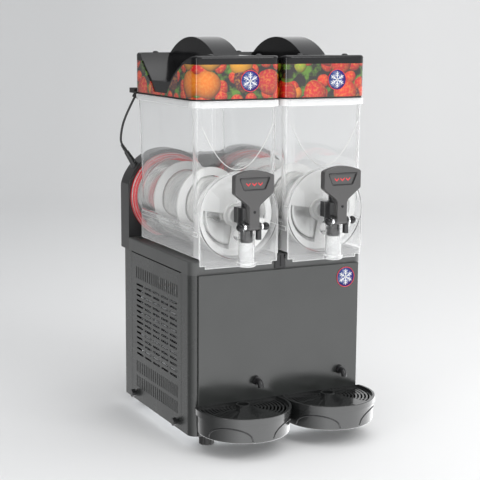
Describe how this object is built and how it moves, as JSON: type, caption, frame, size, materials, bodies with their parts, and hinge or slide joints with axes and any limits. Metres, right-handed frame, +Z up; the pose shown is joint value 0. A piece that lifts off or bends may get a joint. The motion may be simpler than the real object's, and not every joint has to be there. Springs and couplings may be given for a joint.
{
  "type": "slushie machine",
  "caption": "Twin-bowl frozen drink machine: clear bowls over chilled drums with turning augers, pull taps, printed lids, drip trays and a louvred cabinet.",
  "frame": {"origin": "on the counter, under the middle of the machine's outline", "axes": "+Z up, +X to the right of a person facing the machine, front faces -Y"},
  "size_m": [0.4258, 0.52, 0.83],
  "materials": {
    "powder_coat": "satin",
    "galvanised": "satin",
    "dark_plastic": "satin",
    "gloss_black": "gloss",
    "clear_bowl": "gloss",
    "printed_sheet": "gloss",
    "auger_white": "satin",
    "seal_red": "satin",
    "seal_black": "matte",
    "stainless": "brushed",
    "chrome": "polished",
    "fin_aluminium": "satin",
    "cast_black": "satin",
    "lead_jacket": "satin"
  },
  "bodies": {
    "base": {"base_pan": "galvanised", "centre_cap": "gloss_black", "compressor": "cast_black", "condenser": "fin_aluminium", "control_plate": "galvanised", "deck": "dark_plastic", "fan_motor": "galvanised", "feet": "seal_black", "front_panel": "powder_coat", "lead_sockets": "dark_plastic", "left_column": "powder_coat", "left_drain_elbow": "dark_plastic", "left_evaporator": "stainless", "left_gasket": "seal_red", "left_gearmotor": "galvanised", "left_louvre_panel": "powder_coat", "mains_inlet": "dark_plastic", "rear_panel": "powder_coat", "rear_posts": "powder_coat", "right_column": "powder_coat", "right_drain_elbow": "dark_plastic", "right_evaporator": "stainless", "right_gasket": "seal_red", "right_gearmotor": "galvanised", "right_louvre_panel": "powder_coat", "thumbscrews": "dark_plastic", "tower_front_cover": "dark_plastic", "tower_rear_cover": "dark_plastic"},
    "fan": {"fan": "dark_plastic"},
    "left_auger": {"left_auger": "auger_white", "left_drive_shaft": "stainless"},
    "left_bowl": {"left_bowl": "clear_bowl", "left_tap_bracket": "dark_plastic", "left_tap_pin": "chrome"},
    "left_handle": {"left_tap_handle": "dark_plastic"},
    "left_plunger": {"left_plunger": "dark_plastic"},
    "left_lid": {"left_lid_cover": "gloss_black", "left_lid_print": "printed_sheet", "left_lid_base": "seal_black", "left_lid_lead": "lead_jacket", "left_lid_plug": "lead_jacket"},
    "left_tray": {"left_drip_tray": "gloss_black"},
    "left_grate": {"left_tray_grate": "gloss_black"},
    "right_auger": {"right_auger": "auger_white", "right_drive_shaft": "stainless"},
    "right_bowl": {"right_bowl": "clear_bowl", "right_tap_bracket": "dark_plastic", "right_tap_pin": "chrome"},
    "right_handle": {"right_tap_handle": "dark_plastic"},
    "right_plunger": {"right_plunger": "dark_plastic"},
    "right_lid": {"right_lid_cover": "gloss_black", "right_lid_print": "printed_sheet", "right_lid_base": "seal_black"},
    "right_tray": {"right_drip_tray": "gloss_black"},
    "right_grate": {"right_tray_grate": "gloss_black"},
    "power_switch": {"power_switch": "gloss_black"},
    "left_auger_switch": {"left_auger_switch": "gloss_black"},
    "right_auger_switch": {"right_auger_switch": "gloss_black"},
    "left_chill_dial": {"left_chill_dial": "dark_plastic"},
    "right_chill_dial": {"right_chill_dial": "dark_plastic"}
  },
  "joints": [
    {"name": "fan_spin", "type": "hinge", "parent": "base", "child": "fan", "pos_m": [-0.138, 0.061, 0.17], "axis": [1, 0, 0], "continuous": true},
    {"name": "left_auger_spin", "type": "hinge", "parent": "base", "child": "left_auger", "pos_m": [-0.1, 0, 0.476], "axis": [0, 1, 0], "continuous": true},
    {"name": "left_bowl_slide", "type": "slide", "parent": "base", "child": "left_bowl", "axis": [0, -1, 0], "range_m": [0, 0.34]},
    {"name": "left_handle_pull", "type": "hinge", "parent": "left_bowl", "child": "left_handle", "pos_m": [-0.1, -0.198, 0.463], "axis": [1, 0, 0], "range_deg": [0, 60], "stiffness_Nm_per_rad": 0.8, "springref_deg": -20.05},
    {"name": "left_plunger_lift", "type": "slide", "parent": "left_bowl", "child": "left_plunger", "axis": [0, 0, 1], "range_m": [0, 0.0222]},
    {"name": "left_lid_lift", "type": "slide", "parent": "left_bowl", "child": "left_lid", "axis": [0, 0, 1], "range_m": [0, 0.15]},
    {"name": "left_tray_slide", "type": "slide", "parent": "base", "child": "left_tray", "axis": [0, -1, 0], "range_m": [0, 0.1]},
    {"name": "left_grate_lift", "type": "slide", "parent": "left_tray", "child": "left_grate", "axis": [0, 0, 1], "range_m": [0, 0.03]},
    {"name": "right_auger_spin", "type": "hinge", "parent": "base", "child": "right_auger", "pos_m": [0.1, 0, 0.476], "axis": [0, 1, 0], "continuous": true},
    {"name": "right_bowl_slide", "type": "slide", "parent": "base", "child": "right_bowl", "axis": [0, -1, 0], "range_m": [0, 0.34]},
    {"name": "right_handle_pull", "type": "hinge", "parent": "right_bowl", "child": "right_handle", "pos_m": [0.1, -0.198, 0.463], "axis": [1, 0, 0], "range_deg": [0, 60], "stiffness_Nm_per_rad": 0.8, "springref_deg": -20.05},
    {"name": "right_plunger_lift", "type": "slide", "parent": "right_bowl", "child": "right_plunger", "axis": [0, 0, 1], "range_m": [0, 0.0222]},
    {"name": "right_lid_lift", "type": "slide", "parent": "right_bowl", "child": "right_lid", "axis": [0, 0, 1], "range_m": [0, 0.15]},
    {"name": "right_tray_slide", "type": "slide", "parent": "base", "child": "right_tray", "axis": [0, -1, 0], "range_m": [0, 0.1]},
    {"name": "right_grate_lift", "type": "slide", "parent": "right_tray", "child": "right_grate", "axis": [0, 0, 1], "range_m": [0, 0.03]},
    {"name": "power_rock", "type": "hinge", "parent": "base", "child": "power_switch", "pos_m": [-0.084, 0.24, 0.326], "axis": [1, 0, 0], "range_deg": [-8, 8]},
    {"name": "left_auger_rock", "type": "hinge", "parent": "base", "child": "left_auger_switch", "pos_m": [-0.044, 0.24, 0.326], "axis": [1, 0, 0], "range_deg": [-8, 8]},
    {"name": "right_auger_rock", "type": "hinge", "parent": "base", "child": "right_auger_switch", "pos_m": [-0.004, 0.24, 0.326], "axis": [1, 0, 0], "range_deg": [-8, 8]},
    {"name": "left_chill_turn", "type": "hinge", "parent": "base", "child": "left_chill_dial", "pos_m": [0.042, 0.24, 0.326], "axis": [0, 1, 0], "range_deg": [0, 270]},
    {"name": "right_chill_turn", "type": "hinge", "parent": "base", "child": "right_chill_dial", "pos_m": [0.084, 0.24, 0.326], "axis": [0, 1, 0], "range_deg": [0, 270]}
  ],
  "couplings": [
    {"joint": "left_plunger_lift", "follows": "left_handle_pull", "m_per_rad": 0.021008},
    {"joint": "right_plunger_lift", "follows": "right_handle_pull", "m_per_rad": 0.021008}
  ]
}
